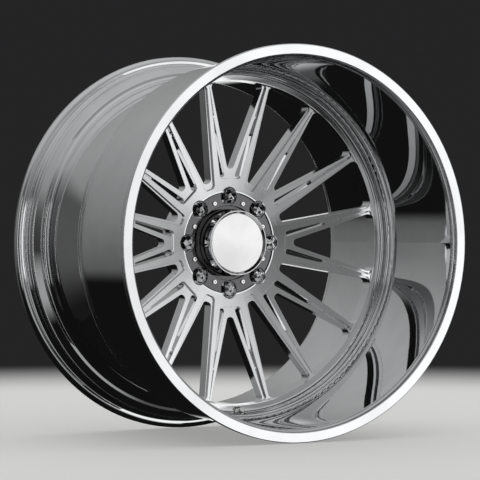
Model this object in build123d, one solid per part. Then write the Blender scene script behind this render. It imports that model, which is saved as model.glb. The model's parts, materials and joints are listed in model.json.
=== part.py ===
from build123d import *
import math
import os

# A welded three-piece forged wheel for a lifted truck: a milled centre between a deep outer lip
# and an inner barrel, with its centre cap, lug nuts and tyre valve.
#
# Frame: millimetres. The axle line is Y and the street side faces -Y. +Z is up and the valve is
# at the bottom. The origin is on the axle line, halfway across the wheel.
# "A" directions are the eight directions of the lug nuts, starting at +X.
# "B" directions lie halfway between them and carry the cap screws.

INCH = 25.4

# Rim
RIM_WIDTH = 16 * INCH  # between the inner faces of the two flanges
FLANGE_WALL = 13.8  # from a flange's inner face to its outer face
HALF_WIDTH = RIM_WIDTH / 2 + FLANGE_WALL
SEAT_R = 332.6  # bead seat of a 26 inch rim
FLANGE_R = SEAT_R + 17.5  # J flange height
FLANGE_EDGE = 1.5  # rounding of the flange's outer edges
FACE_INNER_R = 333.3  # inner edge of the flat band on the front flange
BEAD_R = 330.6  # small beads just inside that band
BEAD_Y = -214.6
LIP_FRONT_R = 326.0  # inside of the lip behind its front beads
LIP_FRONT_Y = -204.6
LIP_REAR_R = 321.4  # inside of the lip where the steps at its foot start
LIP_REAR_Y = -27.6
SEAT_TAPER = 1.8  # drop of a bead seat over its width
SEAT_WIDTH = 26.0
SEAT_CORNER = 5.3  # from the flange to where its corner radius meets the bead seat
BARREL_R = SEAT_R - SEAT_TAPER  # outside of the front barrel
WELL_R = 309.8  # outside of the drop centre
WELL_INNER_R = 302.8
WELL_FRONT_Y = 28.0
WELL_REAR_Y = 163.0
REAR_EDGE_R = 334.4  # inside of the rear flange at its outer face
REAR_CONE_R = 325.6  # inside of the barrel under the rear bead seat
HUMP = 1.4
SERRATIONS = 3  # fine grooves in each bead seat
WELD_HALF = 3.6  # half width of a weld groove
WELD_CROWN = 0.12  # height of a weld over the metal beside it
WELD_ROOT_FRONT_R = 320.0
WELD_ROOT_REAR_R = 305.4
LIP_WELD_R = 327.6  # tyre side of the metal beside the welds
CENTRE_FRONT_WELD_R = 327.5
CENTRE_REAR_WELD_R = 311.2
BARREL_WELD_R = 311.0

# Wheel centre
COUNT = 8
STEP = 360 / COUNT
RING_Y = 1.0  # front of the flat ring around the spokes
CONE_R = 293.0  # outer end of the shallow cone that the spokes and the hub pad share
CONE_Y = 2.5
CONE_SLOPE = 0.1663  # fall of that cone towards the axle
RING_R = 305.5  # outer edge of the flat ring
WINDOW_R = 295.5  # outer end of the windows
POCKET_END_R = WINDOW_R - 2.5  # outer end of the pockets around the windows
FRONT_SEAM_Y = -17.6
FRONT_SEAM_R = 315.6
SHOULDER_R = 310.2  # end of the round shoulder outside the ring
SHOULDER_Y = -7.2
SLOPE_FRONT_R = 324.6  # start of the slope down to the drop centre, on the tyre side
SLOPE_FRONT_Y = -2.6
BACK_OUTER_R = 296.0  # ends of the cone behind the spokes
BACK_OUTER_Y = 27.2
BACK_INNER_R = 126.0
BACK_INNER_Y = 57.4
BOSS_R = 106.0
BOSS_Y = 66.0
MOUNT_Y = 101.0  # mounting face, the wheel's offset behind its mid plane
MOUNT_R = 104.5
MOUNT_EDGE = 1.5
POCKET_DEPTH = 4.0  # step from the main spokes down to the ribs and ledges

# Lines that bound the milled shapes, each as (x where it crosses the direction's axis, slope)
SPOKE_A_SIDE = (28.1, 0.234)
SPOKE_B_SIDE = (59.2, 0.2137)
A_WINDOW_SIDE = (119.1, 0.326)
B_WINDOW_SIDE = (83.9, 0.2244)
RIB_INNER = (86.5, 0.305)
RIB_OUTER = (71.2, 0.2688)
A_POCKET_X = 117.2
A_WINDOW_X = 136.2
B_POCKET_X = 104.0
B_WINDOW_X = 117.0
SLOT_FROM = 120.2
SLOT_TO = 200.3
RECESS_TO = 227.5
GROOVE_FROM = 231.0
GROOVE_TO = 284.0
RECESS_DEPTH = 3.0  # below the ribs
GROOVE_DEPTH = 8.0  # below the ribs
CUT_FRONT_Y = -40.0  # cutters start in front of the centre
CUT_BACK_Y = 90.0  # and end behind the spokes

# Corner rounds of the milled shapes, as (end nearest the axle, far end)
A_POCKET_ROUNDS = (7.0, 5.0)
A_WINDOW_ROUNDS = (7.0, 9.0)
B_POCKET_ROUNDS = (6.5, 8.0)
B_WINDOW_ROUNDS = (7.0, 9.0)
SLOT_ROUNDS = (4.5, 2.0)
RECESS_ROUNDS = (0.5, 0.8)
GROOVE_ROUNDS = (1.2, 1.0)

# Hub
BORE_R = 62.55
BORE_EDGE = 1.5
BORE_FRONT_Y = 46.0
CAP_SEAT_Y = 44.5
SEAL_GROOVE_R = 65.2  # groove for the seal under the cap's foot
SEAL_GROOVE_END_R = 67.6
SEAL_GROOVE_DEPTH = 1.4
HUB_POCKET_R = 93.5
HUB_POCKET_Y = 42.0
HUB_RIM = 2.2  # width of the flat land round the mouth of the hub pocket
LUG_R = 85.0  # half of the 170 mm lug circle
LUG_HOLE_R = 7.6
LUG_WELL_R = 16.0
LUG_MOUTH_R = 24.0  # wide end of the chamfer round each well's mouth
LUG_MOUTH_Y = 36.0  # and where that chamfer meets the well
LUG_CONE_R = 12.9
LUG_SEAT_Y = 64.0
CONE_RISE = math.tan(math.radians(30))  # radius per length of the 60 degree lug seat
SCREW_R = 77.5
SCREW_HOLE_R = 2.0
SCREW_HEAD_R = 4.4
SCREW_HEAD_RISE = 2.3
SCREW_SOCKET_FLAT = 3.0  # across the flats
RELIEF_R = 88.0
RELIEF_HOLE_R = 10.0
RELIEF_DEPTH = 22.0

# Centre cap
CAP_R = 59.1
CAP_WALL = 3.0
CAP_FRONT_Y = 1.2
HEAD_R = 61.8  # rear edge of the cap's tapered head, which overhangs the cylinder
HEAD_Y = 17.4
BEZEL_R = 57.7
BEZEL_BACK_Y = 9.0
BEZEL_EDGE = 0.4
PLATE_R = 53.5
PLATE_GAP = 0.3  # between the plate and the bezel
PLATE_INSET = 3.8  # behind the front of the bezel
PLATE_EDGE = 0.4
CAP_FOOT_R = 70.2
RING_INNER_R = 68.2
CAP_RING_R = 92.7
CAP_RING_Y = 37.5
SCALLOP_R = 16.4

# Lug nuts
NUT_FLAT = 22.2  # across the flats
NUT_ROUND_R = 12.4
NUT_TIP_Y = 24.3
NUT_POINT_R = 0.8  # blunt end of the tip
NUT_TIP_R = 6.4
NUT_TIP_FALL = 2.4  # from the tip's point to the edge of its cone
NUT_CHAMFER = 0.75  # fall of the tip's chamfer for each millimetre of radius
NUT_COLLAR_Y = 61.0
NUT_BORE_R = 7.1
NUT_GAP = 0.03

# Tyre valve, measured along its own axis from the spot face, positive outwards
VALVE_TILT = 30
VALVE_Y = -1.5
VALVE_R = 309.0
VALVE_HOLE_R = 5.75
SPOT_R = 9.8
TYRE_SPOT = -8.0
TYRE_SPOT_R = 8.5
STEM_R = 4.2
TIP_R = 3.83
TIP_END = 9.0
CORE_BORE_R = 2.6
LOW_BORE_R = 2.0
CORE_STEP = 1.0
CORE_TUBE_R = 1.85
CORE_PLUG = 3.5  # where the core's threaded plug starts
CORE_SEAT = -3.0  # lower end of the core, closed by the pin's seal
SEAL_BOTTOM = -4.2
PIN_R = 0.7
PIN_TOP = 8.2
SPRING_BORE_R = 1.2
SPRING_FROM = -1.5
SPRING_TO = 2.6
SPRING_R = 0.95
SPRING_TURNS = 7
WIRE_R = 0.12
GROMMET = 3.0
WASHER = 1.0
WASHER_R = 8.8
VALVE_NUT_FLAT = 14.0  # across the flats
VALVE_NUT = 3.4  # thickness
STEM_HEAD_R = 7.4
GROMMET_R = 7.8
CAP_FLUTES = 20
DUST_CAP_R = 5.2
DUST_CAP_WALL = 1.4  # thickness of the dust cap's closed end
DUST_CAP_FROM = 5.0
DUST_CAP_TO = 12.6

VALVE_PLANE = Plane(
    origin=(0, VALVE_Y, -VALVE_R),
    x_dir=(1, 0, 0),
    z_dir=(0, -math.cos(math.radians(VALVE_TILT)), math.sin(math.radians(VALVE_TILT))),
)


def outline(start, *steps):
    """Face from a closed outline. A step is a point, or an arc as (point on the arc, its end)."""
    edges = []
    here = start
    for step in steps:
        if isinstance(step[0], tuple):
            edges.append(ThreePointArc(here, step[0], step[1]))
            here = step[1]
        else:
            edges.append(Line(here, step))
            here = step
    if here != start:
        edges.append(Line(here, start))
    return make_face(edges)


def about_axle(face):
    """Solid of revolution about the axle line from a face drawn as (radius, y)."""
    return revolve(face, axis=Axis.Y)


def about_z(face):
    """Solid of revolution about Z from a face drawn as (radius, z)."""
    return revolve(Plane.XZ * face, axis=Axis.Z)


def on_valve(shape):
    """A shape built around Z, placed on the valve's axis."""
    return VALVE_PLANE * shape


def prism(face, front_y, back_y):
    """A face drawn as (x, z), extruded between two planes across the axle line."""
    return extrude(Plane.XZ.offset(-back_y) * face, amount=back_y - front_y)


def around(shape, first_angle=0.0):
    """Eight copies of a shape around the axle line."""
    return [Rot(0, first_angle + STEP * i, 0) * shape for i in range(COUNT)]


def height(line, x):
    """Distance from the direction's axis to a bounding line at x."""
    return line[1] * (x - line[0])


def spoke_face_y(radius):
    """Front of the spokes and the hub pad, a shallow cone that rises towards the ring."""
    return CONE_Y + CONE_SLOPE * (CONE_R - radius)


def below_face(depth):
    """Everything in front of a surface that lies a given depth below the spokes' front."""
    inner = HUB_POCKET_R
    outer = WINDOW_R + 2
    return about_axle(
        outline(
            (inner, CUT_FRONT_Y - 1),
            (outer, CUT_FRONT_Y - 1),
            (outer, spoke_face_y(outer) + depth),
            (inner, spoke_face_y(inner) + depth),
        )
    )


def milled_wedge(line, start_x, end_r, rounds):
    """Wedge-shaped opening about +X between a line and its mirror image, with round corners."""
    far_x = end_r + 15
    near = height(line, start_x)
    far = height(line, far_x)
    corners = [(start_x, -near), (far_x, -far), (far_x, far), (start_x, near)]
    face = make_face(Polyline(*corners, close=True)) & Circle(end_r)
    face = fillet(face.vertices().sort_by(Axis.X)[:2], rounds[0])
    face = fillet(face.vertices().sort_by(SortBy.DISTANCE)[-2:], rounds[1])
    return face


def side_strip(rib_line, start_x, end_x, rounds):
    """Strip between the main spoke and its rib, from start_x to end_x, with round ends."""
    corners = [
        (start_x, height(rib_line, start_x)),
        (end_x, height(rib_line, end_x)),
        (end_x, height(SPOKE_A_SIDE, end_x)),
        (start_x, height(SPOKE_A_SIDE, start_x)),
    ]
    face = make_face(Polyline(*corners, close=True))
    face = fillet(face.vertices().sort_by(Axis.X)[:2], rounds[0])
    face = fillet(face.vertices().sort_by(Axis.X)[-2:], rounds[1])
    return face


def both_sides(face):
    return [face, mirror(face, about=Plane.XZ)]


def milled(face):
    """Cutter of one milled shape, right through the centre."""
    return prism(face, CUT_FRONT_Y, CUT_BACK_Y)


def milled_cutters():
    """All the material milled out between the spokes."""
    rib_level = below_face(POCKET_DEPTH)
    recess_level = below_face(POCKET_DEPTH + RECESS_DEPTH)
    groove_level = below_face(POCKET_DEPTH + GROOVE_DEPTH)

    a_pocket = milled_wedge(SPOKE_A_SIDE, A_POCKET_X, POCKET_END_R, A_POCKET_ROUNDS)
    a_window = milled_wedge(A_WINDOW_SIDE, A_WINDOW_X, WINDOW_R, A_WINDOW_ROUNDS)
    slot = side_strip(RIB_INNER, SLOT_FROM, SLOT_TO, SLOT_ROUNDS)
    recess = side_strip(RIB_INNER, SLOT_TO - 3, RECESS_TO, RECESS_ROUNDS)
    groove = side_strip(RIB_OUTER, GROOVE_FROM, GROOVE_TO, GROOVE_ROUNDS)
    a_parts = [milled(a_pocket) & rib_level, milled(a_window)]
    for side in both_sides(slot):
        a_parts.append(milled(side))
    for side in both_sides(recess):
        a_parts.append(milled(side) & recess_level)
    for side in both_sides(groove):
        a_parts.append(milled(side) & groove_level)

    b_pocket = milled_wedge(SPOKE_B_SIDE, B_POCKET_X, POCKET_END_R, B_POCKET_ROUNDS)
    b_window = milled_wedge(B_WINDOW_SIDE, B_WINDOW_X, WINDOW_R, B_WINDOW_ROUNDS)
    b_parts = [milled(b_pocket) & rib_level, milled(b_window)]

    cutters = []
    for part in a_parts:
        cutters += around(part)
    for part in b_parts:
        cutters += around(part, STEP / 2)
    return cutters


def hub_cutters():
    """Lug wells and holes, tapped screw holes and the relief holes in the mounting face."""
    cone_end_y = LUG_SEAT_Y + (LUG_CONE_R - LUG_HOLE_R) / CONE_RISE
    lug = about_axle(
        outline(
            (0, 0),
            (LUG_MOUTH_R, 0),
            (LUG_MOUTH_R, LUG_MOUTH_Y - (LUG_MOUTH_R - LUG_WELL_R)),
            (LUG_WELL_R, LUG_MOUTH_Y),
            (LUG_WELL_R, LUG_SEAT_Y),
            (LUG_CONE_R, LUG_SEAT_Y),
            (LUG_HOLE_R, cone_end_y),
            (LUG_HOLE_R, MOUNT_Y + 1),
            (0, MOUNT_Y + 1),
        )
    )
    screw_end_y = HUB_POCKET_Y + 11
    screw_hole = prism(Circle(SCREW_HOLE_R), 0, screw_end_y)
    relief_y = MOUNT_Y - RELIEF_DEPTH
    relief = about_axle(
        outline(
            (0, MOUNT_Y + 1),
            (RELIEF_HOLE_R, MOUNT_Y + 1),
            (RELIEF_HOLE_R, relief_y + 3),
            ((RELIEF_HOLE_R - 0.88, relief_y + 0.88), (RELIEF_HOLE_R - 3, relief_y)),
            (0, relief_y),
        )
    )
    cutters = around(Pos(LUG_R, 0, 0) * lug)
    cutters += around(Pos(SCREW_R, 0, 0) * screw_hole, STEP / 2)
    cutters += around(Pos(RELIEF_R, 0, 0) * relief, STEP / 2)
    return cutters


def valve_cutter():
    """Spot face, valve hole and the tyre side's spot face, along the valve's axis."""
    far = 60
    return on_valve(
        about_z(
            outline(
                (0, far),
                (SPOT_R, far),
                (SPOT_R, 0),
                (VALVE_HOLE_R, 0),
                (VALVE_HOLE_R, TYRE_SPOT),
                (TYRE_SPOT_R, TYRE_SPOT),
                (TYRE_SPOT_R, -far / 2),
                (0, -far / 2),
            )
        )
    )


def wheel_center():
    """Forged centre: hub, spokes and an outer ring that carries the step of the barrel."""
    seal_floor_y = CAP_SEAT_Y + SEAL_GROOVE_DEPTH
    rim_end_r = HUB_POCKET_R + HUB_RIM
    # From the bore along the front: cap seat with the seal's groove, hub pocket, cone and ring
    front = [
        (BORE_R + BORE_EDGE, CAP_SEAT_Y),
        (SEAL_GROOVE_R, CAP_SEAT_Y),
        (SEAL_GROOVE_R, seal_floor_y),
        (SEAL_GROOVE_END_R, seal_floor_y),
        (SEAL_GROOVE_END_R, CAP_SEAT_Y),
        (CAP_FOOT_R + 0.5, CAP_SEAT_Y),
        (CAP_FOOT_R + 0.5, HUB_POCKET_Y),
        (HUB_POCKET_R, HUB_POCKET_Y),
        (HUB_POCKET_R, spoke_face_y(rim_end_r) + 0.3),
        (HUB_POCKET_R + 0.3, spoke_face_y(rim_end_r)),
        (rim_end_r, spoke_face_y(rim_end_r)),
        (CONE_R, CONE_Y),
        ((CONE_R + 1.7, CONE_Y - 1.1), (CONE_R + 4, RING_Y)),
        (RING_R, RING_Y),
    ]
    # Round shoulder, small bead and hollow between the ring and the lip's seam
    shoulder = [
        ((309.15, -2.35), (SHOULDER_R, SHOULDER_Y)),
        (SHOULDER_R + 1.4, SHOULDER_Y - 1.2),
        (SHOULDER_R + 1.2, SHOULDER_Y - 2.4),
        ((SHOULDER_R + 1.3, SHOULDER_Y - 7.4), (FRONT_SEAM_R, FRONT_SEAM_Y)),
    ]
    # Tyre side between the two welds
    tyre_side = [
        (WELD_ROOT_FRONT_R, FRONT_SEAM_Y),
        (CENTRE_FRONT_WELD_R, FRONT_SEAM_Y + WELD_HALF),
        (CENTRE_FRONT_WELD_R - 0.2, SLOPE_FRONT_Y - 5.4),
        ((CENTRE_FRONT_WELD_R - 0.9, SLOPE_FRONT_Y - 2.6), (SLOPE_FRONT_R, SLOPE_FRONT_Y)),
        (CENTRE_REAR_WELD_R + 1.0, WELL_FRONT_Y - WELD_HALF - 2.2),
        (CENTRE_REAR_WELD_R, WELL_FRONT_Y - WELD_HALF),
        (WELD_ROOT_REAR_R, WELL_FRONT_Y),
    ]
    # Back: cone behind the spokes, hub boss and mounting face
    back = [
        (WELL_INNER_R, WELL_FRONT_Y),
        ((WELL_INNER_R - 0.9, BACK_OUTER_Y + 0.2), (BACK_OUTER_R + 3.5, BACK_OUTER_Y)),
        (BACK_OUTER_R, BACK_OUTER_Y),
        (BACK_INNER_R, BACK_INNER_Y),
        ((BACK_INNER_R - 8.5, BACK_INNER_Y + 2.2), (BOSS_R + 6, BOSS_Y)),
        (BOSS_R + 1.5, BOSS_Y + 8),
        (BOSS_R, MOUNT_Y - MOUNT_EDGE),
        (MOUNT_R, MOUNT_Y),
        (BORE_R + BORE_EDGE, MOUNT_Y),
        (BORE_R, MOUNT_Y - BORE_EDGE),
    ]
    blank = about_axle(outline((BORE_R, BORE_FRONT_Y), *front, *shoulder, *tyre_side, *back))
    return blank - (milled_cutters() + hub_cutters()) - valve_cutter()


def tyre_side_steps(way):
    """Steps along the tyre side from a bead seat's inner end to the edge of its flange's face.

    way is -1 for the front flange and 1 for the rear one.
    """
    flange_y = way * RIM_WIDTH / 2
    face_y = way * HALF_WIDTH
    steps = [(BARREL_R, seat_end_y(way))]
    for i in range(SERRATIONS):
        from_flange = 8.0 + 2.4 * (SERRATIONS - 1 - i)
        groove_y = flange_y - way * from_flange
        steps.append((seat_r(from_flange + 0.8), groove_y - way * 0.8))
        steps.append((seat_r(from_flange) - 0.6, groove_y))
        steps.append((seat_r(from_flange - 0.8), groove_y + way * 0.8))
    steps += [
        (SEAT_R, flange_y - way * SEAT_CORNER),
        ((SEAT_R + 1.5, flange_y - way * 1.6), (SEAT_R + 5.0, flange_y)),
        (FLANGE_R - 9.0, flange_y),
        ((FLANGE_R - 2.6, flange_y + way * 2.7), (FLANGE_R, flange_y + way * 9.0)),
        (FLANGE_R, face_y - way * FLANGE_EDGE),
        ((FLANGE_R - 0.44, face_y - way * 0.44), (FLANGE_R - FLANGE_EDGE, face_y)),
    ]
    return steps


def seat_r(from_flange):
    """Radius of a bead seat at a distance from its flange."""
    return SEAT_R - SEAT_TAPER * (from_flange - SEAT_CORNER) / (SEAT_WIDTH - SEAT_CORNER)


def seat_end_y(way):
    """Where a bead seat ends, away from its flange."""
    return way * (RIM_WIDTH / 2 - SEAT_WIDTH)


def outer_lip():
    """Front half of the barrel: bead seat, flange with its flat band, beads and the deep lip."""
    hump_y = seat_end_y(-1)
    barrel = [
        (LIP_WELD_R, FRONT_SEAM_Y - WELD_HALF),
        (BARREL_R, hump_y + 8),
        ((BARREL_R + HUMP, hump_y + 4), (BARREL_R, hump_y)),
    ]
    # Two small beads and a step inside the flange's flat band
    front_beads = [
        (FACE_INNER_R, -HALF_WIDTH),
        ((BEAD_R + 1.3, BEAD_Y - 1.8), (BEAD_R + 1.0, BEAD_Y)),
        ((BEAD_R + 0.3, BEAD_Y + 1.6), (BEAD_R, BEAD_Y + 3.7)),
        (BEAD_R - 1.0, BEAD_Y + 4.2),
        ((LIP_FRONT_R + 1.2, BEAD_Y + 5.9), (LIP_FRONT_R + 1.2, LIP_FRONT_Y - 1.0)),
        (LIP_FRONT_R, LIP_FRONT_Y),
    ]
    # Deep lip, then two steps down to the seam with the centre
    deep_lip = [
        (LIP_REAR_R, LIP_REAR_Y),
        ((LIP_REAR_R - 0.8, LIP_REAR_Y + 3.2), (LIP_REAR_R - 2.6, LIP_REAR_Y + 4.4)),
        ((FRONT_SEAM_R + 0.15, FRONT_SEAM_Y - 3.6), (FRONT_SEAM_R, FRONT_SEAM_Y)),
    ]
    steps = barrel + tyre_side_steps(-1)[1:] + front_beads + deep_lip
    return about_axle(outline((WELD_ROOT_FRONT_R, FRONT_SEAM_Y), *steps))


def inner_barrel():
    """Rear half of the barrel: drop centre, rear bead seat and flange."""
    hump_y = seat_end_y(1)
    # Drop centre, the step at its rear end and the slope up to the rear hump
    drop_centre = [
        (BARREL_WELD_R, WELL_FRONT_Y + WELD_HALF),
        (WELL_R, WELL_FRONT_Y + 8),
        (WELL_R - 1.0, WELL_REAR_Y - 4),
        ((WELL_R + 0.6, WELL_REAR_Y + 1.0), (WELL_R + 3.6, WELL_REAR_Y + 3.6)),
        (WELL_R + 8.6, WELL_REAR_Y + 4.6),
        (WELL_R + 9.4, WELL_REAR_Y + 6.0),
        (BARREL_R - 0.6, hump_y - 1.6),
        ((BARREL_R + HUMP, hump_y + 0.2), (BARREL_R, hump_y + 2.4)),
    ]
    # Inside: flared rear edge, cone and the bore of the drop centre
    inside = [
        (REAR_EDGE_R, HALF_WIDTH),
        ((REAR_EDGE_R - 3.4, HALF_WIDTH - 3.4), (REAR_EDGE_R - 6.2, HALF_WIDTH - 8.0)),
        (REAR_CONE_R, hump_y + 6),
        ((REAR_CONE_R - 1.2, hump_y - 1), (REAR_CONE_R - 4.0, hump_y - 5)),
        (WELL_INNER_R + 5.2, WELL_REAR_Y + 5),
        ((WELL_INNER_R + 1.6, WELL_REAR_Y + 1.0), (WELL_INNER_R, WELL_REAR_Y - 6)),
        (WELL_INNER_R, WELL_FRONT_Y),
    ]
    steps = drop_centre + tyre_side_steps(1)[1:] + inside
    return about_axle(outline((WELD_ROOT_REAR_R, WELL_FRONT_Y), *steps))


def weld_bead(root_r, seam_y, front_r, rear_r):
    """Weld metal that fills the groove along a seam on the tyre side, with a low crown."""
    front = (front_r, seam_y - WELD_HALF)
    rear = (rear_r, seam_y + WELD_HALF)
    top = ((front_r + rear_r) / 2 + WELD_CROWN, seam_y)
    return about_axle(outline((root_r, seam_y), front, (top, rear)))


def weld_bead_front():
    return weld_bead(WELD_ROOT_FRONT_R, FRONT_SEAM_Y, LIP_WELD_R, CENTRE_FRONT_WELD_R)


def weld_bead_rear():
    return weld_bead(WELD_ROOT_REAR_R, WELL_FRONT_Y, CENTRE_REAR_WELD_R, BARREL_WELD_R)


def center_cap_can():
    """Closed cap: a tapered head round the bezel, a cylinder and a clamping flange at its foot."""
    inner = CAP_R - CAP_WALL
    return about_axle(
        outline(
            (0, BEZEL_BACK_Y),
            (BEZEL_R, BEZEL_BACK_Y),
            (BEZEL_R, CAP_FRONT_Y),
            (CAP_R - 0.4, CAP_FRONT_Y),
            (CAP_R, CAP_FRONT_Y + 0.4),
            (HEAD_R, HEAD_Y - 0.6),
            (HEAD_R - 0.5, HEAD_Y),
            (CAP_R + 0.6, HEAD_Y),
            (CAP_R, HEAD_Y + 0.6),
            (CAP_R, HUB_POCKET_Y - 3),
            ((CAP_R + 0.88, HUB_POCKET_Y - 0.88), (CAP_R + 3, HUB_POCKET_Y)),
            (CAP_FOOT_R, HUB_POCKET_Y),
            (CAP_FOOT_R, CAP_SEAT_Y),
            (inner, CAP_SEAT_Y),
            (inner, BEZEL_BACK_Y + 4),
            ((inner - 0.44, BEZEL_BACK_Y + 2.94), (inner - 1.5, BEZEL_BACK_Y + 2.5)),
            (0, BEZEL_BACK_Y + 2.5),
        )
    )


def center_cap_bezel():
    """Bright ring that slopes in from the cap's front edge to the sunken face plate."""
    inner_r = PLATE_R + PLATE_GAP
    outer_r = BEZEL_R - 0.05
    return about_axle(
        outline(
            (inner_r, BEZEL_BACK_Y),
            (inner_r, CAP_FRONT_Y + PLATE_INSET - BEZEL_EDGE),
            (outer_r - BEZEL_EDGE, CAP_FRONT_Y + 0.1),
            (outer_r, CAP_FRONT_Y + 0.1 + BEZEL_EDGE),
            (outer_r, BEZEL_BACK_Y),
        )
    )


def center_cap_face_plate():
    """Blank disc set into the bezel."""
    return about_axle(
        outline(
            (0, CAP_FRONT_Y + PLATE_INSET),
            (PLATE_R - PLATE_EDGE, CAP_FRONT_Y + PLATE_INSET),
            (PLATE_R, CAP_FRONT_Y + PLATE_INSET + PLATE_EDGE),
            (PLATE_R, BEZEL_BACK_Y),
            (0, BEZEL_BACK_Y),
        )
    )


def center_cap_base_ring():
    """Ring that clamps the can to the hub, scalloped round the lug wells."""
    ring = about_axle(
        outline(
            (RING_INNER_R, CAP_RING_Y + 0.6),
            (RING_INNER_R + 0.6, CAP_RING_Y),
            (CAP_RING_R - 0.8, CAP_RING_Y),
            (CAP_RING_R, CAP_RING_Y + 0.8),
            (CAP_RING_R, HUB_POCKET_Y),
            (RING_INNER_R, HUB_POCKET_Y),
        )
    )
    scallop = prism(Circle(SCALLOP_R), CAP_RING_Y - 5, HUB_POCKET_Y + 5)
    hole = prism(Circle(SCREW_HOLE_R + 0.25), CAP_RING_Y - 5, HUB_POCKET_Y + 5)
    scallops = around(Pos(LUG_R, 0, 0) * scallop)
    holes = around(Pos(SCREW_R, 0, 0) * hole, STEP / 2)
    return ring - (scallops + holes)


def center_cap_o_ring():
    """Seal in the groove under the can's foot, squeezed flat on both sides."""
    low = CAP_SEAT_Y
    high = CAP_SEAT_Y + SEAL_GROOVE_DEPTH
    middle = (low + high) / 2
    flat_from = SEAL_GROOVE_R + 0.7
    flat_to = SEAL_GROOVE_END_R - 0.7
    return about_axle(
        outline(
            (flat_from, low),
            (flat_to, low),
            ((flat_to + 0.6, middle), (flat_to, high)),
            (flat_from, high),
            ((flat_from - 0.6, middle), (flat_from, low)),
        )
    )


def center_cap_screws():
    """Eight button-head screws with hexagon sockets."""
    head_y = CAP_RING_Y - SCREW_HEAD_RISE
    shank_r = SCREW_HOLE_R - 0.03
    screw = about_axle(
        outline(
            (0, head_y),
            (SCREW_HEAD_R - 0.9, head_y),
            ((SCREW_HEAD_R - 0.26, head_y + 0.28), (SCREW_HEAD_R, head_y + 0.9)),
            (SCREW_HEAD_R, CAP_RING_Y),
            (shank_r, CAP_RING_Y),
            (shank_r, HUB_POCKET_Y + 9.4),
            (shank_r - 0.6, HUB_POCKET_Y + 10),
            (0, HUB_POCKET_Y + 10),
        )
    )
    socket = RegularPolygon(SCREW_SOCKET_FLAT / 2, 6, major_radius=False)
    screw -= prism(socket, head_y - 1, head_y + 1.6)
    return Compound(around(Pos(SCREW_R, 0, 0) * screw, STEP / 2))


def lug_nuts():
    """Eight closed nuts with conical seats, a chamfered hexagon and a low pointed tip."""
    cone_start_y = LUG_SEAT_Y + (LUG_CONE_R - NUT_ROUND_R) / CONE_RISE - NUT_GAP
    end_r = LUG_HOLE_R + 0.5
    end_y = cone_start_y + (NUT_ROUND_R - end_r) / CONE_RISE
    corner_r = NUT_FLAT / math.sqrt(3) + 0.4
    collar_y = NUT_COLLAR_Y
    body = about_axle(
        outline(
            (0, NUT_TIP_Y),
            (NUT_POINT_R, NUT_TIP_Y),
            (NUT_TIP_R, NUT_TIP_Y + NUT_TIP_FALL),
            (corner_r, NUT_TIP_Y + NUT_TIP_FALL + NUT_CHAMFER * (corner_r - NUT_TIP_R)),
            (corner_r, collar_y),
            (0, collar_y),
        )
    )
    hexagon = RegularPolygon(NUT_FLAT / 2, 6, major_radius=False)
    body &= prism(hexagon, NUT_TIP_Y - 1, collar_y)
    collar = about_axle(
        outline(
            (0, collar_y),
            (NUT_ROUND_R, collar_y),
            (NUT_ROUND_R, cone_start_y),
            (end_r, end_y),
            (0, end_y),
        )
    )
    bore = prism(Circle(NUT_BORE_R), NUT_TIP_Y + 10, end_y + 1)
    nut = body + collar - bore
    return Compound(around(Pos(LUG_R, 0, 0) * nut))


def valve_stem_body():
    """Clamp-in stem with its head on the tyre side and the core's stepped bore."""
    head_z = TYRE_SPOT - GROMMET
    foot_z = head_z - 3.0
    return on_valve(
        about_z(
            outline(
                (LOW_BORE_R, foot_z),
                (STEM_R, foot_z),
                (STEM_HEAD_R, foot_z + 0.8),
                (STEM_HEAD_R, head_z),
                (STEM_R, head_z),
                (STEM_R, DUST_CAP_FROM - 0.4),
                (TIP_R, DUST_CAP_FROM),
                (TIP_R, TIP_END - 0.5),
                (TIP_R - 0.5, TIP_END),
                (CORE_BORE_R, TIP_END),
                (CORE_BORE_R, CORE_STEP),
                (LOW_BORE_R, CORE_STEP),
            )
        )
    )


def valve_grommet():
    """Rubber seal between the stem's head and the rim, with a collar inside the hole."""
    return on_valve(
        about_z(
            outline(
                (STEM_R, TYRE_SPOT - GROMMET),
                (GROMMET_R - 0.8, TYRE_SPOT - GROMMET),
                ((GROMMET_R, TYRE_SPOT - GROMMET / 2), (GROMMET_R - 0.8, TYRE_SPOT)),
                (VALVE_HOLE_R - 0.05, TYRE_SPOT),
                (VALVE_HOLE_R - 0.05, TYRE_SPOT + 3.5),
                (STEM_R, TYRE_SPOT + 3.5),
            )
        )
    )


def valve_washer():
    return on_valve(
        about_z(
            outline(
                (STEM_R + 0.1, 0),
                (WASHER_R, 0),
                (WASHER_R, WASHER - 0.2),
                (WASHER_R - 0.2, WASHER),
                (STEM_R + 0.1, WASHER),
            )
        )
    )


def valve_nut():
    """Hexagon nut that clamps the stem, with its corners chamfered."""
    top = WASHER + VALVE_NUT
    corner_r = VALVE_NUT_FLAT / math.sqrt(3)
    face_r = VALVE_NUT_FLAT / 2 - 0.3
    blank = about_z(
        outline(
            (STEM_R + 0.03, WASHER),
            (corner_r, WASHER),
            (corner_r, top - 0.6 * (corner_r - face_r)),
            (face_r, top),
            (STEM_R + 0.03, top),
        )
    )
    hexagon = RegularPolygon(VALVE_NUT_FLAT / 2, 6, major_radius=False)
    return on_valve(blank & extrude(hexagon, amount=top + 1))


def valve_core_body():
    """Threaded plug of the core with the tube that carries the seat and the spring."""
    return on_valve(
        about_z(
            outline(
                (PIN_R + 0.05, CORE_SEAT),
                (CORE_TUBE_R, CORE_SEAT),
                (CORE_TUBE_R, CORE_PLUG),
                (CORE_BORE_R - 0.05, CORE_PLUG),
                (CORE_BORE_R - 0.05, CORE_PLUG + 3.5),
                (SPRING_BORE_R, CORE_PLUG + 3.5),
                (SPRING_BORE_R, SPRING_FROM),
                (PIN_R + 0.05, SPRING_FROM),
            )
        )
    )


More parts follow.
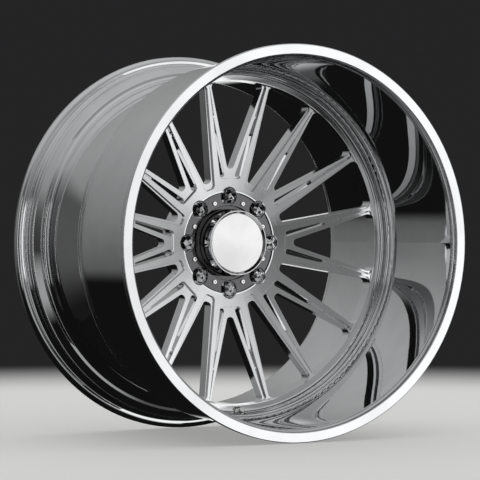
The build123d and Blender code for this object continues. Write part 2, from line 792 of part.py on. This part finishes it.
def valve_core_gasket():
    """Sealing ring between the core's plug and the step in the stem's bore."""
    return on_valve(
        about_z(
            outline(
                (CORE_TUBE_R + 0.02, CORE_STEP),
                (CORE_BORE_R - 0.02, CORE_STEP),
                (CORE_BORE_R - 0.02, CORE_STEP + 1.4),
                (CORE_BORE_R - 0.3, CORE_PLUG - 0.02),
                (CORE_TUBE_R + 0.02, CORE_PLUG - 0.02),
            )
        )
    )


def valve_core_pin():
    """Pin that a gauge pushes, with a collar over the spring and a head under the seal."""
    return on_valve(
        about_z(
            outline(
                (0, SEAL_BOTTOM - 0.8),
                (PIN_R + 0.6, SEAL_BOTTOM - 0.8),
                (PIN_R + 0.6, SEAL_BOTTOM),
                (PIN_R, SEAL_BOTTOM),
                (PIN_R, SPRING_TO),
                (PIN_R + 0.4, SPRING_TO),
                (PIN_R + 0.4, SPRING_TO + 0.5),
                (PIN_R, SPRING_TO + 0.5),
                (PIN_R, PIN_TOP - 0.2),
                (PIN_R - 0.2, PIN_TOP),
                (0, PIN_TOP),
            )
        )
    )


def valve_core_seal():
    """Rubber cup on the pin that closes the core's seat."""
    top = CORE_SEAT - 0.03
    seal_r = CORE_TUBE_R - 0.15
    return on_valve(
        about_z(
            outline(
                (PIN_R, SEAL_BOTTOM),
                (seal_r - 0.2, SEAL_BOTTOM),
                (seal_r, SEAL_BOTTOM + 0.3),
                (seal_r, top),
                (PIN_R, top),
            )
        )
    )


def valve_core_spring():
    """Coil spring between the core's inner shoulder and the pin's collar."""
    low = SPRING_FROM + WIRE_R
    height_of_coil = SPRING_TO - WIRE_R - low
    pitch = height_of_coil / SPRING_TURNS
    path = Helix(pitch=pitch, height=height_of_coil, radius=SPRING_R, center=(0, 0, low))
    section = Plane(origin=path @ 0, z_dir=path % 0) * Circle(WIRE_R)
    return on_valve(sweep(section, path=path))


def valve_cap():
    """Knurled dust cap, open towards the wheel."""
    outer = DUST_CAP_R
    end = DUST_CAP_WALL
    bore_r = TIP_R + 0.05
    shell = about_z(
        outline(
            (bore_r, DUST_CAP_FROM + 0.1),
            (outer - 0.3, DUST_CAP_FROM + 0.1),
            (outer, DUST_CAP_FROM + 0.4),
            (outer, DUST_CAP_TO - 1.2),
            ((outer - 0.35, DUST_CAP_TO - 0.35), (outer - 1.2, DUST_CAP_TO)),
            (0, DUST_CAP_TO),
            (0, DUST_CAP_TO - end),
            (bore_r, DUST_CAP_TO - end),
        )
    )
    flutes = [
        Rot(0, 0, 360 / CAP_FLUTES * i)
        * Pos(outer + 0.25, 0, DUST_CAP_FROM + 1.2)
        * extrude(Circle(0.6), amount=DUST_CAP_TO - DUST_CAP_FROM - 3.0)
        for i in range(CAP_FLUTES)
    ]
    return on_valve(shell - flutes)


def valve_cap_seal():
    """Rubber washer between the stem's tip and the end of the dust cap."""
    return on_valve(
        about_z(
            outline(
                (1.4, TIP_END),
                (TIP_R - 0.1, TIP_END),
                (TIP_R - 0.1, DUST_CAP_TO - DUST_CAP_WALL),
                (1.4, DUST_CAP_TO - DUST_CAP_WALL),
            )
        )
    )


PARTS = [
    wheel_center,
    outer_lip,
    inner_barrel,
    weld_bead_front,
    weld_bead_rear,
    center_cap_can,
    center_cap_bezel,
    center_cap_face_plate,
    center_cap_base_ring,
    center_cap_o_ring,
    center_cap_screws,
    lug_nuts,
    valve_stem_body,
    valve_grommet,
    valve_washer,
    valve_nut,
    valve_core_body,
    valve_core_gasket,
    valve_core_pin,
    valve_core_seal,
    valve_core_spring,
    valve_cap,
    valve_cap_seal,
]

os.makedirs("parts", exist_ok=True)
for build in PARTS:
    export_step(build(), f"parts/{build.__name__}.step")
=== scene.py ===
import json
import math

import bpy
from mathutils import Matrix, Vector


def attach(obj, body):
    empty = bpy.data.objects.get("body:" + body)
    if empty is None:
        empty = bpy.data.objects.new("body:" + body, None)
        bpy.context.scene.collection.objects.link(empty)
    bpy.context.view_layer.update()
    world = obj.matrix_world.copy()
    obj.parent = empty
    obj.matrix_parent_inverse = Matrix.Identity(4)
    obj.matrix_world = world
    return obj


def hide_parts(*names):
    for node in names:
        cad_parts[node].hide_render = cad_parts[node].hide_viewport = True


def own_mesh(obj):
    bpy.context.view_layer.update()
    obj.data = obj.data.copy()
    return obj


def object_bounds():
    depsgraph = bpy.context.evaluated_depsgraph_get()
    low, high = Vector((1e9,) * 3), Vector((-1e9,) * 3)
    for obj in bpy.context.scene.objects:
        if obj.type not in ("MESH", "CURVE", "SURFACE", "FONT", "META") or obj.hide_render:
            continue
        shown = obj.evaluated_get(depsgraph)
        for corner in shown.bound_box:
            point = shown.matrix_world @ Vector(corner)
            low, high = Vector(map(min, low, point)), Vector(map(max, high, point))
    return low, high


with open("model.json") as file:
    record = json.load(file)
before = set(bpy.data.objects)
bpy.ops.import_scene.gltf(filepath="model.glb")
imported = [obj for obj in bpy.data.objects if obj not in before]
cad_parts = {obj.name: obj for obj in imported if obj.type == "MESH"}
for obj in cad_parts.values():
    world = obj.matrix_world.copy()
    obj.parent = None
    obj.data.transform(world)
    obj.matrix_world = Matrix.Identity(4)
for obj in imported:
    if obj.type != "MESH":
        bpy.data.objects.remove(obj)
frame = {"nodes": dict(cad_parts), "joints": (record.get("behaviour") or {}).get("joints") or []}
NODES = frame["nodes"]
JOINTS = {joint["name"]: joint for joint in frame["joints"]}
bpy.context.view_layer.update()

# ---------------------------------------------------------------- node helpers


class Nodes:
    """Short calls for building one node tree."""

    def __init__(self, tree):
        self.tree = tree

    def add(self, kind, **settings):
        node = self.tree.nodes.new(kind)
        for key, value in settings.items():
            setattr(node, key, value)
        return node

    def link(self, out, into):
        """Joins a socket to another, or sets a plain value on it."""
        if isinstance(out, (int, float)):
            into.default_value = out
        elif isinstance(out, (tuple, Vector)):
            into.default_value = tuple(out)
        else:
            self.tree.links.new(out, into)

    def math(self, operation, *values):
        node = self.add("ShaderNodeMath", operation=operation)
        for socket, value in zip(node.inputs, values):
            self.link(value, socket)
        return node.outputs[0]

    def vector_math(self, operation, *values):
        node = self.add("ShaderNodeVectorMath", operation=operation)
        for socket, value in zip(node.inputs, values):
            self.link(value, socket)
        scalar = operation in ("DOT_PRODUCT", "LENGTH")
        return node.outputs["Value" if scalar else "Vector"]

    def ramp(self, value, low, high, out_low=0.0, out_high=1.0):
        node = self.add("ShaderNodeMapRange", interpolation_type="SMOOTHSTEP", clamp=True)
        for socket, item in zip(node.inputs, (value, low, high, out_low, out_high)):
            self.link(item, socket)
        return node.outputs[0]

    def vector(self, x, y, z):
        node = self.add("ShaderNodeCombineXYZ")
        for socket, item in zip(node.inputs, (x, y, z)):
            self.link(item, socket)
        return node.outputs[0]

    def split(self, vector):
        node = self.add("ShaderNodeSeparateXYZ")
        self.link(vector, node.inputs[0])
        return node.outputs

    def object_position(self):
        return self.add("ShaderNodeTexCoord").outputs["Object"]

    def hypotenuse(self, a, b):
        squares = self.math("ADD", self.math("MULTIPLY", a, a), self.math("MULTIPLY", b, b))
        return self.math("SQRT", squares)

    def noise(self, vector, scale, detail=2.0, rough=0.5):
        node = self.add("ShaderNodeTexNoise")
        self.link(vector, node.inputs["Vector"])
        node.inputs["Scale"].default_value = scale
        node.inputs["Detail"].default_value = detail
        node.inputs["Roughness"].default_value = rough
        return node.outputs["Fac"]

    def mix_color(self, factor, a, b):
        node = self.add("ShaderNodeMix", data_type="RGBA")
        self.link(factor, node.inputs[0])
        self.link(a, node.inputs[6])
        self.link(b, node.inputs[7])
        return node.outputs[2]

    def mix_shader(self, factor, a, b):
        node = self.add("ShaderNodeMixShader")
        self.link(factor, node.inputs[0])
        self.link(a, node.inputs[1])
        self.link(b, node.inputs[2])
        return node.outputs[0]

    def surface(self, shader):
        self.link(shader, self.add("ShaderNodeOutputMaterial").inputs[0])


def new_material(name):
    material = bpy.data.materials.new(name)
    material.use_nodes = True
    material.node_tree.nodes.clear()
    return material, Nodes(material.node_tree)


def opaque(color, share=1.0):
    """A colour scaled to a share of its brightness, with full alpha."""
    return tuple(c * share for c in color) + (1.0,)


# ---------------------------------------------------------------- finishes

ALLOY = (0.86, 0.87, 0.88)
CHROME = (0.90, 0.90, 0.91)

CLOUD_SCALE = 9.0  # slow variation of colour and polish over the metal
CLOUD_DARKENING = 0.10
RING_STRETCH = 0.6  # how quickly turned marks change along their own direction

CAP_FLANGE_Y = 0.0405  # front of the cap's clamping flange, painted shade behind this depth
FLANGE_SHADE_SHARE = 0.12
FLANGE_SHADE_EDGE = 0.0004
SPOT_FACE_R = 0.0101  # machined seat round the valve's axis, painted dark as shade
SPOT_FACE_SHADE_SHARE = 0.16
SPOT_FACE_SHADE_EDGE = 0.0003

RUBBER_GRAIN = 1800.0
RUBBER_GRAIN_DEPTH = 0.00005


def valve_seat_shade_mask(n, position):
    """1 on the spot face that is cut round the valve's axis, where shade is painted, 0 elsewhere.
    """
    valve = JOINTS["valve_cap_unscrew"]
    offset = n.vector_math("SUBTRACT", position, tuple(valve["pos_m"]))
    across = n.vector_math("CROSS_PRODUCT", offset, tuple(valve["axis"]))
    distance = n.vector_math("LENGTH", across)
    return n.ramp(distance, SPOT_FACE_R, SPOT_FACE_R - SPOT_FACE_SHADE_EDGE)


def polished_metal(
    name, color, rough, grain, grain_depth,
    spread=0.03, bevel=0.0, turned=True, dirt=0.0, painted_shade_from=None, shade_valve_seat=False,
):
    """Bare metal with tool marks: rings round the axle if turned, otherwise fine crossing marks.

    Optionally the surface is painted dark as shade behind a given depth along the axle,
    and painted dark as shade on the machined seat of the valve.
    """
    material, n = new_material(name)
    position = n.object_position()
    x, along, z = n.split(position)
    if turned:
        marks_at = n.vector(
            n.math("MULTIPLY", n.hypotenuse(x, z), grain),
            n.math("MULTIPLY", along, grain),
            n.math("MULTIPLY", n.math("ARCTAN2", z, x), RING_STRETCH),
        )
        marks = n.noise(marks_at, 1.0, 3.0, 0.6)
    else:
        marks = n.noise(position, grain, 3.0, 0.6)
    cloud = n.noise(position, CLOUD_SCALE, 3.0, 0.55)

    tint = n.mix_color(
        n.ramp(cloud, 0.35, 0.75),
        opaque(color),
        opaque(color, 1.0 - CLOUD_DARKENING - dirt),
    )
    # painted shade on the cap's flange, behind the given depth along the axle
    if painted_shade_from is not None:
        shade_behind = n.ramp(along, painted_shade_from - FLANGE_SHADE_EDGE, painted_shade_from + FLANGE_SHADE_EDGE)
        tint = n.mix_color(shade_behind, tint, opaque(color, FLANGE_SHADE_SHARE))
    # painted shade on the machined seat round the valve
    if shade_valve_seat:
        tint = n.mix_color(valve_seat_shade_mask(n, position), tint, opaque(color, SPOT_FACE_SHADE_SHARE))
    polish = n.ramp(cloud, 0.3, 0.7, rough - spread, rough + spread)

    bsdf = n.add("ShaderNodeBsdfPrincipled")
    n.link(tint, bsdf.inputs["Base Color"])
    bsdf.inputs["Metallic"].default_value = 1.0
    n.link(n.math("ADD", polish, n.math("MULTIPLY", marks, spread)), bsdf.inputs["Roughness"])
    bump = n.add("ShaderNodeBump")
    bump.inputs["Strength"].default_value = 1.0
    bump.inputs["Distance"].default_value = grain_depth
    n.link(marks, bump.inputs["Height"])
    if bevel:
        rounded = n.add("ShaderNodeBevel", samples=6)
        rounded.inputs["Radius"].default_value = bevel
        n.link(rounded.outputs[0], bump.inputs["Normal"])
    n.link(bump.outputs[0], bsdf.inputs["Normal"])
    n.surface(bsdf.outputs[0])
    return material


def rubber(name, color, rough, spread=0.08):
    material, n = new_material(name)
    grain = n.noise(n.object_position(), RUBBER_GRAIN, 2.0)
    bsdf = n.add("ShaderNodeBsdfPrincipled")
    n.link(n.mix_color(grain, opaque(color), opaque(color, 0.7)), bsdf.inputs["Base Color"])
    n.link(n.ramp(grain, 0.3, 0.7, rough - spread, rough + spread), bsdf.inputs["Roughness"])
    bump = n.add("ShaderNodeBump")
    bump.inputs["Distance"].default_value = RUBBER_GRAIN_DEPTH
    n.link(grain, bump.inputs["Height"])
    n.link(bump.outputs[0], bsdf.inputs["Normal"])
    n.surface(bsdf.outputs[0])
    return material


# Each finish: colour, roughness, grain frequency and depth (m), then what is special to it
METALS = {
    # the forged centre gets painted shade on the valve's machined seat
    "forged_centre": (
        ALLOY, 0.075, 900.0, 0.000003,
        {"spread": 0.025, "bevel": 0.0007, "turned": False, "shade_valve_seat": True},
    ),
    "polished_lip": (ALLOY, 0.020, 1500.0, 0.000001, {"spread": 0.008, "bevel": 0.0009}),
    "turned_barrel": (ALLOY, 0.022, 1500.0, 0.000001, {"spread": 0.008, "bevel": 0.0012}),
    "weld_metal": (
        (0.84, 0.85, 0.86), 0.09, 500.0, 0.000006,
        {"spread": 0.03, "dirt": 0.04},
    ),
    # the cap's chrome gets painted shade on its flange behind CAP_FLANGE_Y
    "cap_chrome": (
        CHROME, 0.04, 2500.0, 0.000001,
        {"spread": 0.015, "bevel": 0.0004, "painted_shade_from": CAP_FLANGE_Y},
    ),
    "smoked_chrome": (
        (0.13, 0.13, 0.135), 0.04, 2500.0, 0.000001,
        {"spread": 0.01, "bevel": 0.0005},
    ),
    "cap_plate": ((0.87, 0.87, 0.87), 0.17, 2500.0, 0.000002, {"turned": False}),
    "screw_steel": ((0.88, 0.88, 0.89), 0.08, 1500.0, 0.000002, {"turned": False}),
    "nut_chrome": (CHROME, 0.05, 1500.0, 0.000002, {"bevel": 0.0004, "turned": False}),
    "valve_nickel": (
        (0.88, 0.87, 0.85), 0.05, 2500.0, 0.000001,
        {"spread": 0.015, "bevel": 0.0003, "turned": False},
    ),
    "valve_cap_metal": (
        (0.86, 0.86, 0.87), 0.06, 2500.0, 0.000001,
        {"spread": 0.015, "turned": False},
    ),
    "core_brass": ((0.78, 0.57, 0.27), 0.2, 2500.0, 0.000003, {"turned": False}),
    "spring_steel": ((0.55, 0.55, 0.55), 0.25, 2500.0, 0.000003, {"turned": False}),
}
RUBBERS = {
    "seal_rubber": ((0.02, 0.02, 0.02), 0.5),
    "core_gasket": ((0.25, 0.04, 0.03), 0.45),
}
FINISHES = {}
for slot, (color, rough, grain, grain_depth, special) in METALS.items():
    name = slot + "_fine"
    FINISHES[slot] = polished_metal(name, color, rough, grain, grain_depth, **special)
for slot, (color, rough) in RUBBERS.items():
    FINISHES[slot] = rubber(slot + "_fine", color, rough)
for node in NODES.values():
    for index, material in enumerate(node.data.materials):
        node.data.materials[index] = FINISHES[material.name]


def add_object(name, data):
    item = bpy.data.objects.new(name, data)
    bpy.context.scene.collection.objects.link(item)
    return item


# ---------------------------------------------------------------- core spring

# The coil is an own copy of the spring node, fixed to the wheel, with the original hidden
coil = add_object("valve_core_coil", NODES["valve_core_spring"].data.copy())
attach(coil, "wheel")
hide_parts("valve_core_spring")
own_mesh(coil)

# ---------------------------------------------------------------- stage


def stage_mesh(name, verts, faces, material):
    mesh = bpy.data.meshes.new(name)
    mesh.from_pydata(verts, [], faces)
    mesh.materials.append(material)
    item = add_object(name, mesh)
    return item


# Pale round floor that fades out, left out of the metal's reflections
FLOOR_GAP = 0.0005
FLOOR_R = 2.6
FLOOR_FADE_FROM = 1.3
FLOOR_POINTS = 96
low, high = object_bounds()
material, n = new_material("studio_paper")
position = n.object_position()
x, y, z = n.split(position)
fibre = n.noise(position, 60.0, 3.0)
paper = n.add("ShaderNodeBsdfPrincipled")
n.link(
    n.mix_color(fibre, (0.82, 0.82, 0.81, 1.0), (0.78, 0.78, 0.77, 1.0)),
    paper.inputs["Base Color"],
)
paper.inputs["Roughness"].default_value = 0.85
paper.inputs["Emission Color"].default_value = (1.0, 1.0, 0.99, 1.0)
paper.inputs["Emission Strength"].default_value = 0.30
clear = n.add("ShaderNodeBsdfTransparent")
fade = n.ramp(n.hypotenuse(x, y), FLOOR_FADE_FROM, FLOOR_R)
n.surface(n.mix_shader(fade, paper.outputs[0], clear.outputs[0]))
verts = [(0.0, 0.0, 0.0)]
for i in range(FLOOR_POINTS):
    turn = 2 * math.pi * i / FLOOR_POINTS
    verts.append((FLOOR_R * math.cos(turn), FLOOR_R * math.sin(turn), 0.0))
faces = [(0, 1 + i, 1 + (i + 1) % FLOOR_POINTS) for i in range(FLOOR_POINTS)]
floor = stage_mesh("studio_floor", verts, faces, material)
floor.location = (0, 0, low.z - FLOOR_GAP)
floor.visible_glossy = False

# Dark flag beside the rear half of the barrel, seen only in the polished metal
FLAG_Y = 0.35
FLAG_OUTLINE = [
    (-0.42, -0.23), (-0.449, -0.175), (-0.469, -0.115), (-0.485, 0.0), (-0.469, 0.115),
    (-0.449, 0.175), (-0.42, 0.23), (-0.37, 0.22), (-0.34, 0.20), (-0.34, -0.25),
    (-0.41, -0.25),
]
FLAG_GLOW_HEIGHTS = (-0.22, -0.05)
FLAG_GLOW = (0.010, 0.088)
FLAG_TOP_SLOPE = -0.5  # the upper edge fades out along a slanting line
FLAG_TOP_FADE = (0.34, 0.40)
material, n = new_material("studio_flag")
x, y, z = n.split(n.object_position())
glow = n.add("ShaderNodeEmission")
n.link(n.ramp(z, *FLAG_GLOW_HEIGHTS, *FLAG_GLOW), glow.inputs["Strength"])
clear = n.add("ShaderNodeBsdfTransparent")
fade = n.ramp(n.math("MULTIPLY_ADD", x, FLAG_TOP_SLOPE, z), *FLAG_TOP_FADE)
n.surface(n.mix_shader(fade, glow.outputs[0], clear.outputs[0]))
verts = [(x, FLAG_Y, z) for x, z in FLAG_OUTLINE]
flag = stage_mesh("studio_flag", verts, [tuple(range(len(verts)))], material)
flag.visible_camera = False
flag.visible_diffuse = False
flag.visible_shadow = False

# ---------------------------------------------------------------- camera

CAMERA_PLACE = (-2.4116, -4.1966, 0.0246)
CAMERA_AHEAD = (0.4986, 0.8668, -0.004)
LENS = 199.1
SENSOR = 36.0
FAR_CLIP = 100.0
camera_data = bpy.data.cameras.new("camera")
camera = add_object("camera", camera_data)
camera_data.lens = LENS
camera_data.sensor_width = SENSOR
camera_data.clip_end = FAR_CLIP
camera.location = CAMERA_PLACE
camera.rotation_mode = "QUATERNION"
camera.rotation_quaternion = Vector(CAMERA_AHEAD).normalized().to_track_quat("-Z", "Y")
bpy.context.scene.camera = camera

# ---------------------------------------------------------------- light

UP = Vector((0, 0, 1))
FACING = 0.001  # least cosine to a card's middle for the card to be in view

HORIZON_DEPTHS = (-0.95, 0.9)  # from straight in front of the wheel to behind it
HORIZON_HEIGHTS = (-0.46, -0.16)
HORIZON_SOFT = 0.04
SKY_LOW = 0.16
SKY_SLOPE = 0.40
SKY_LEAST_HEIGHT = -0.2
DARK_FLOOR = 0.006
SHADE_SIDE = (-0.52, -0.60)  # a shaded part of the sky, low on the wheel's left front
SHADE_DEPTH = (0.1, -0.1)
SHADE_HEIGHT = (0.70, 0.30)
SHADE_CUT = -0.72
BACKDROP = (0.018, 0.018, 0.019, 1)

world = bpy.data.worlds.new("studio")
bpy.context.scene.world = world
world.use_nodes = True
world.node_tree.nodes.clear()
n = Nodes(world.node_tree)
ray = n.add("ShaderNodeTexCoord").outputs["Generated"]


def card(toward, half_width, half_height, level, soft=0.06):
    """Brightness of a rectangular soft box seen in one direction.

    Sizes are tangents of the half angles, and soft is the half width of the edge in the same unit.
    """
    middle = Vector(toward).normalized()
    right = middle.cross(UP).normalized()
    up = right.cross(middle)
    ahead = n.vector_math("DOT_PRODUCT", ray, middle)
    safe = n.math("MAXIMUM", ahead, FACING)
    inside = []
    for direction, half in ((right, half_width), (up, half_height)):
        tangent = n.math("DIVIDE", n.vector_math("DOT_PRODUCT", ray, direction), safe)
        inside.append(n.ramp(n.math("ABSOLUTE", tangent), half + soft, half - soft))
    facing = n.math("GREATER_THAN", ahead, FACING)
    shape = n.math("MULTIPLY", n.math("MULTIPLY", *inside), facing)
    return n.math("MULTIPLY", shape, level)


side, depth, height = n.split(ray)
horizon = n.ramp(depth, *HORIZON_DEPTHS, *HORIZON_HEIGHTS)
above = n.ramp(n.math("SUBTRACT", height, horizon), -HORIZON_SOFT, HORIZON_SOFT)
sky_height = n.math("MAXIMUM", height, SKY_LEAST_HEIGHT)
sky = n.math("MULTIPLY_ADD", sky_height, SKY_SLOPE, SKY_LOW)
shade = n.math("MULTIPLY", n.ramp(side, *SHADE_SIDE), n.ramp(depth, *SHADE_DEPTH))
shade = n.math("MULTIPLY", shade, n.ramp(height, *SHADE_HEIGHT))
sky = n.math("MULTIPLY", sky, n.math("MULTIPLY_ADD", shade, SHADE_CUT, 1.0))
total = n.math("MULTIPLY_ADD", above, n.math("SUBTRACT", sky, DARK_FLOOR), DARK_FLOOR)
CARDS = [
    card((0.56, -0.83, 0.0), 0.20, 0.30, 1.15, soft=0.16),  # whitens the flange and the cap
    card((-0.19, -0.98, 0.0), 0.08, 0.15, 1.2, soft=0.03),
    card((-0.15, -0.95, -0.28), 0.55, 0.18, 0.36, soft=0.10),
    card((-0.90, -0.43, 0.0), 0.10, 0.35, 0.9, soft=0.05),
    card((0.52, 0.85, 0.0), 0.10, 0.20, 1.0),
]
for item in CARDS:
    total = n.math("MAXIMUM", total, item)
studio = n.add("ShaderNodeBackground")
n.link(total, studio.inputs["Color"])
backdrop = n.add("ShaderNodeBackground")
backdrop.inputs["Color"].default_value = BACKDROP
camera_ray = n.add("ShaderNodeLightPath").outputs["Is Camera Ray"]
world_out = n.add("ShaderNodeOutputWorld")
n.link(
    n.mix_shader(camera_ray, studio.outputs[0], backdrop.outputs[0]),
    world_out.inputs[0],
)

bpy.context.scene.view_settings.view_transform = "Standard"

bpy.context.view_layer.update()
